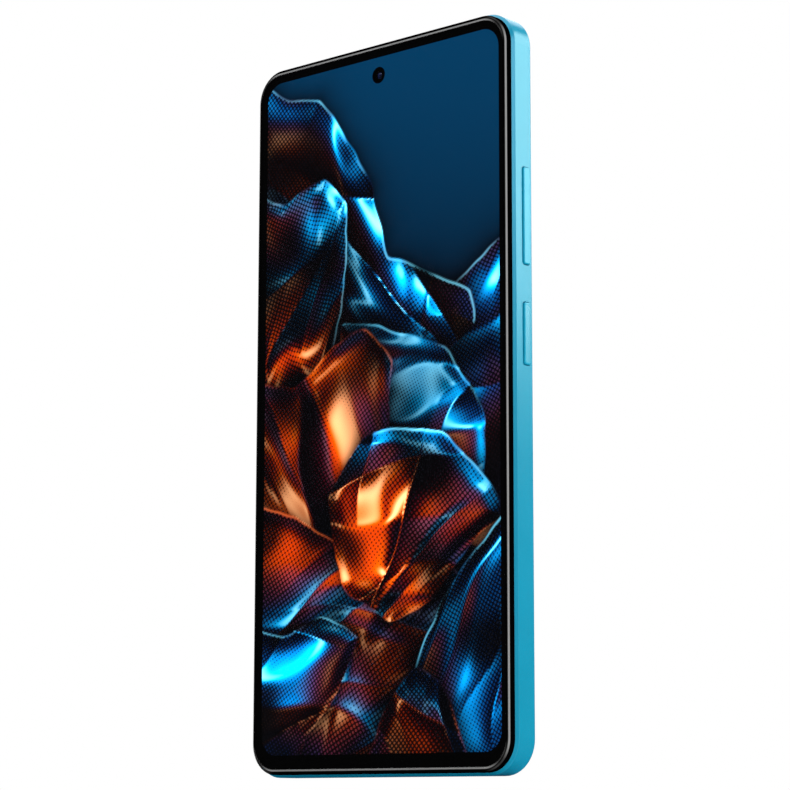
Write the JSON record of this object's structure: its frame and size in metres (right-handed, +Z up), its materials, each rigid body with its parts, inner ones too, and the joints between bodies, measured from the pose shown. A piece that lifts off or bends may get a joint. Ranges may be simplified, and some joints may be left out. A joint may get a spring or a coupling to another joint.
{
  "type": "smartphone",
  "caption": "Slim flat-sided smartphone with a flat punch-hole display, side keys, SIM tray, USB-C port, headphone jack and a raised rear camera island.",
  "frame": {"origin": "centre of the charging port's mouth in the bottom edge, at mid-thickness of the whole phone", "axes": "+Z up along the phone's height, -Y out of the screen, +Y out of the back, +X towards the side with the keys"},
  "size_m": [0.0764, 0.0094, 0.1629],
  "materials": {
    "frame_paint": "satin",
    "cover_paint": "satin",
    "island_glass": "gloss",
    "front_glass": "gloss",
    "lens_glass": "gloss",
    "display": "gloss",
    "black_plastic": "matte",
    "grey_plastic": "matte",
    "ring_metal": "satin",
    "plate_metal": "satin",
    "steel": "brushed",
    "gold_contact": "satin",
    "circuit_board": "satin",
    "circuit_film": "satin",
    "black_rubber": "matte",
    "battery_pouch": "matte",
    "sensor": "satin",
    "infrared_lens": "gloss",
    "flash_lens": "gloss",
    "tungsten": "matte"
  },
  "bodies": {
    "phone_body": {"side_frame": "frame_paint", "mid_plate": "plate_metal", "rear_cover": "cover_paint", "rear_cover_adhesive": "black_rubber", "cover_glass": "front_glass", "display_trim_ring": "black_plastic", "oled_panel": "display", "display_backing": "black_plastic", "display_flex": "circuit_film", "front_camera": "black_plastic", "front_camera_lens": "lens_glass", "front_camera_gasket": "black_rubber", "earpiece_speaker": "black_plastic", "earpiece_mesh": "steel", "camera_island": "island_glass", "flash_window": "flash_lens", "flash_led": "flash_lens", "main_camera": "steel", "ultrawide_camera": "black_plastic", "macro_camera": "black_plastic", "side_key_flex": "circuit_film", "sim_socket": "steel", "sim_lever_pin": "steel", "usb_c_shell": "steel", "usb_c_tongue": "black_plastic", "headphone_jack": "black_plastic", "headphone_contacts": "gold_contact", "ir_emitter": "infrared_lens", "microphones": "gold_contact", "loudspeaker_box": "black_plastic", "loudspeaker_mesh": "steel", "battery": "battery_pouch", "main_board": "circuit_board", "board_shields": "steel", "sub_board": "circuit_board", "main_flex": "circuit_film", "antenna_coax": "black_rubber", "upper_bracket": "black_plastic", "lower_bracket": "black_plastic", "bracket_screws": "steel", "lra_housing": "steel", "lra_springs": "steel", "nfc_antenna": "gold_contact", "main_lens_ring": "ring_metal", "ultrawide_lens_ring": "ring_metal", "macro_lens_ring": "ring_metal", "main_lens_window": "lens_glass", "ultrawide_lens_window": "lens_glass", "macro_lens_window": "lens_glass"},
    "power_key": {"power_button": "frame_paint", "fingerprint_sensor": "sensor"},
    "volume_key": {"volume_rocker": "frame_paint"},
    "tray": {"sim_tray": "frame_paint", "sim_tray_seal": "black_rubber"},
    "eject_rod": {"sim_eject_rod": "steel"},
    "eject_lever": {"sim_eject_lever": "steel"},
    "focus_barrel": {"main_camera_barrel": "black_plastic"},
    "speaker_cone": {"loudspeaker_diaphragm": "grey_plastic"},
    "earpiece_cone": {"earpiece_diaphragm": "grey_plastic"},
    "vibration_mass": {"lra_mass": "tungsten"}
  },
  "joints": [
    {"name": "power_key_press", "type": "slide", "parent": "phone_body", "child": "power_key", "axis": [-1, 0, 0], "range_m": [0, 0.00025], "stiffness_N_per_m": 4000, "springref_m": -0.00003},
    {"name": "volume_key_rock", "type": "hinge", "parent": "phone_body", "child": "volume_key", "pos_m": [0.0362, 0.0008, 0.1177], "axis": [0, 1, 0], "range_deg": [-1.2, 1.2], "stiffness_Nm_per_rad": 0.2},
    {"name": "sim_tray_slide", "type": "slide", "parent": "phone_body", "child": "tray", "axis": [0, 0, -1], "range_m": [0, 0.02]},
    {"name": "sim_rod_push", "type": "slide", "parent": "phone_body", "child": "eject_rod", "axis": [0, 0, 1], "range_m": [0, 0.0015]},
    {"name": "sim_lever_turn", "type": "hinge", "parent": "phone_body", "child": "eject_lever", "pos_m": [-0.0146, 0, 0.0244], "axis": [0, -1, 0], "range_deg": [0, 20]},
    {"name": "main_camera_focus", "type": "slide", "parent": "phone_body", "child": "focus_barrel", "axis": [0, 1, 0], "range_m": [0, 0.00035], "stiffness_N_per_m": 60},
    {"name": "loudspeaker_stroke", "type": "slide", "parent": "phone_body", "child": "speaker_cone", "axis": [0, 1, 0], "range_m": [-0.0003, 0.0003], "stiffness_N_per_m": 1500},
    {"name": "earpiece_stroke", "type": "slide", "parent": "phone_body", "child": "earpiece_cone", "axis": [0, 1, 0], "range_m": [-0.00015, 0.00015], "stiffness_N_per_m": 900},
    {"name": "vibration_motor_stroke", "type": "slide", "parent": "phone_body", "child": "vibration_mass", "axis": [0, 0, 1], "range_m": [-0.0004, 0.0004], "stiffness_N_per_m": 1100, "deforming": ["lra_springs"]}
  ],
  "couplings": [
    {"joint": "sim_rod_push", "follows": "sim_tray_slide", "ratio": 0.075},
    {"joint": "sim_lever_turn", "follows": "sim_tray_slide", "rad_per_m": 17.453}
  ]
}
